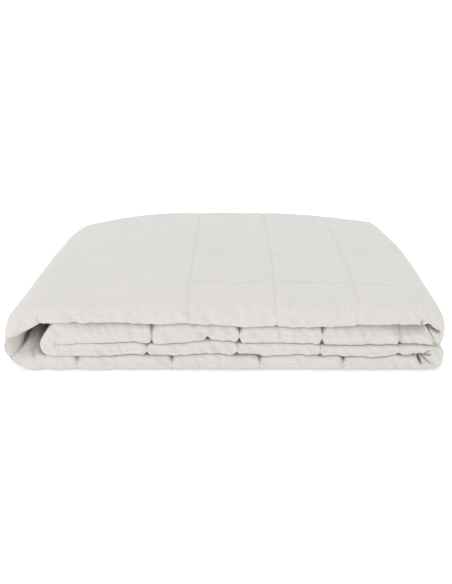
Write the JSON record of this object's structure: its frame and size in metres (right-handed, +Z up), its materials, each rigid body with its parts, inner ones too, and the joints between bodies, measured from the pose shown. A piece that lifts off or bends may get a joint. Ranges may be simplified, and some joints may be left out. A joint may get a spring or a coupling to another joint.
{
  "type": "weighted blanket",
  "caption": "Quilted weighted blanket, folded into a neat stack of four layers, with an open round spine at one side and a closed fold under a hanging end at the other, resting flat.",
  "frame": {"origin": "middle of the box around the folded blanket, on the surface that it rests on", "axes": "+Z up, +X to the right along the front edge, +Y from the front edge to the back"},
  "size_m": [0.5006, 0.375, 0.0921],
  "materials": {
    "blanket_fabric": "matte, off-white plain-woven cotton, quilted"
  },
  "bodies": {
    "root": {"quilted_blanket": "blanket_fabric"}
  },
  "joints": []
}
